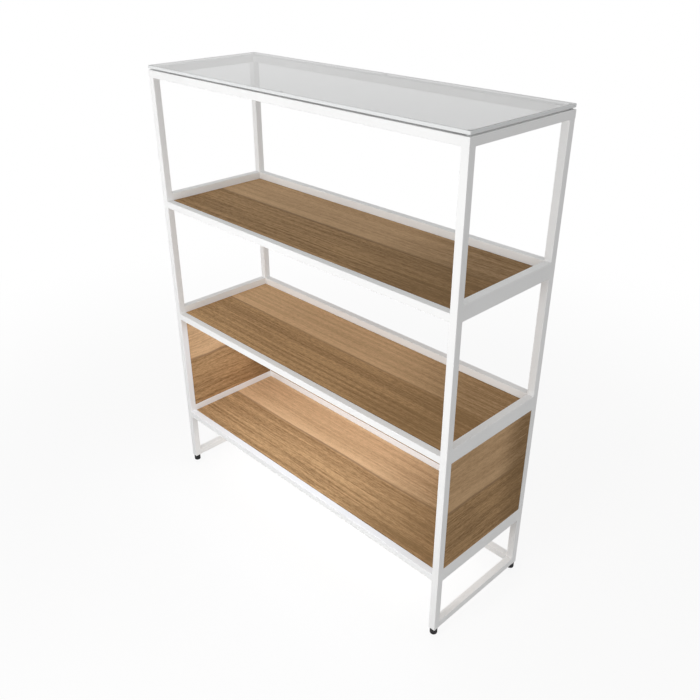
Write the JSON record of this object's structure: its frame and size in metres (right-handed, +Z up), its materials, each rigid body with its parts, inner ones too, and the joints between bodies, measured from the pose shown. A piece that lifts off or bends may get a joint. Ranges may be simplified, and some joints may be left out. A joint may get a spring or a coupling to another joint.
{
  "type": "highboard cabinet",
  "caption": "Tall open highboard: a white square-tube steel frame with lipped wooden shelves, a lower bay closed at the ends and back, a glass top and levelling feet.",
  "frame": {"origin": "on the floor under the middle of the cabinet", "axes": "+Z up, +X along the width to the right as seen from the front, the open front faces -Y"},
  "size_m": [1.087, 0.3626, 1.2995],
  "materials": {
    "white_powder_coat": "satin white powder coat",
    "wood": "matt natural wood, straight grain",
    "glass": "clear plate with ground edges",
    "clear_bumper": "clear soft polymer",
    "zinc_steel": "zinc-plated steel",
    "black_plastic": "matt black moulding"
  },
  "bodies": {
    "frame": {"post_front_left": "white_powder_coat", "post_front_right": "white_powder_coat", "post_rear_left": "white_powder_coat", "post_rear_right": "white_powder_coat", "top_rail_front": "white_powder_coat", "top_rail_rear": "white_powder_coat", "top_rail_left": "white_powder_coat", "top_rail_right": "white_powder_coat", "lower_rail_front": "white_powder_coat", "lower_rail_rear": "white_powder_coat", "lower_rail_left": "white_powder_coat", "lower_rail_right": "white_powder_coat", "middle_rail_front": "white_powder_coat", "middle_rail_rear": "white_powder_coat", "middle_rail_left": "white_powder_coat", "middle_rail_right": "white_powder_coat", "upper_rail_front": "white_powder_coat", "upper_rail_rear": "white_powder_coat", "upper_rail_left": "white_powder_coat", "upper_rail_right": "white_powder_coat", "base_rail_rear": "white_powder_coat", "base_rail_left": "white_powder_coat", "base_rail_right": "white_powder_coat", "lower_shelf_tabs": "white_powder_coat", "middle_shelf_tabs": "white_powder_coat", "upper_shelf_tabs": "white_powder_coat", "lower_shelf": "wood", "middle_shelf": "wood", "upper_shelf": "wood", "left_end_panel": "wood", "right_end_panel": "wood", "back_panel": "wood", "glass_top": "glass", "glass_bumpers": "clear_bumper", "lower_shelf_screws": "zinc_steel", "middle_shelf_screws": "zinc_steel", "upper_shelf_screws": "zinc_steel", "bracket_screws": "zinc_steel", "panel_base_screws": "zinc_steel", "panel_brackets": "zinc_steel", "foot_nut_front_left": "zinc_steel", "foot_nut_front_right": "zinc_steel", "foot_nut_rear_left": "zinc_steel", "foot_nut_rear_right": "zinc_steel"},
    "glide_front_left": {"foot_glide_front_left": "black_plastic"},
    "knob_front_left": {"foot_knob_front_left": "black_plastic", "foot_stem_front_left": "zinc_steel"},
    "glide_front_right": {"foot_glide_front_right": "black_plastic"},
    "knob_front_right": {"foot_knob_front_right": "black_plastic", "foot_stem_front_right": "zinc_steel"},
    "glide_rear_left": {"foot_glide_rear_left": "black_plastic"},
    "knob_rear_left": {"foot_knob_rear_left": "black_plastic", "foot_stem_rear_left": "zinc_steel"},
    "glide_rear_right": {"foot_glide_rear_right": "black_plastic"},
    "knob_rear_right": {"foot_knob_rear_right": "black_plastic", "foot_stem_rear_right": "zinc_steel"}
  },
  "joints": [
    {"name": "front_left_travel", "type": "slide", "parent": "frame", "child": "glide_front_left", "axis": [0, 0, -1], "range_m": [0, 0.01]},
    {"name": "front_left_turn", "type": "hinge", "parent": "glide_front_left", "child": "knob_front_left", "pos_m": [-0.5335, -0.17125, 0.013], "axis": [0, 0, -1], "range_deg": [0, 2880]},
    {"name": "front_right_travel", "type": "slide", "parent": "frame", "child": "glide_front_right", "axis": [0, 0, -1], "range_m": [0, 0.01]},
    {"name": "front_right_turn", "type": "hinge", "parent": "glide_front_right", "child": "knob_front_right", "pos_m": [0.5335, -0.17125, 0.013], "axis": [0, 0, -1], "range_deg": [0, 2880]},
    {"name": "rear_left_travel", "type": "slide", "parent": "frame", "child": "glide_rear_left", "axis": [0, 0, -1], "range_m": [0, 0.01]},
    {"name": "rear_left_turn", "type": "hinge", "parent": "glide_rear_left", "child": "knob_rear_left", "pos_m": [-0.5335, 0.17125, 0.013], "axis": [0, 0, -1], "range_deg": [0, 2880]},
    {"name": "rear_right_travel", "type": "slide", "parent": "frame", "child": "glide_rear_right", "axis": [0, 0, -1], "range_m": [0, 0.01]},
    {"name": "rear_right_turn", "type": "hinge", "parent": "glide_rear_right", "child": "knob_rear_right", "pos_m": [0.5335, 0.17125, 0.013], "axis": [0, 0, -1], "range_deg": [0, 2880]}
  ],
  "couplings": [
    {"joint": "front_left_travel", "follows": "front_left_turn", "m_per_rad": 0.00019894},
    {"joint": "front_right_travel", "follows": "front_right_turn", "m_per_rad": 0.00019894},
    {"joint": "rear_left_travel", "follows": "rear_left_turn", "m_per_rad": 0.00019894},
    {"joint": "rear_right_travel", "follows": "rear_right_turn", "m_per_rad": 0.00019894}
  ]
}
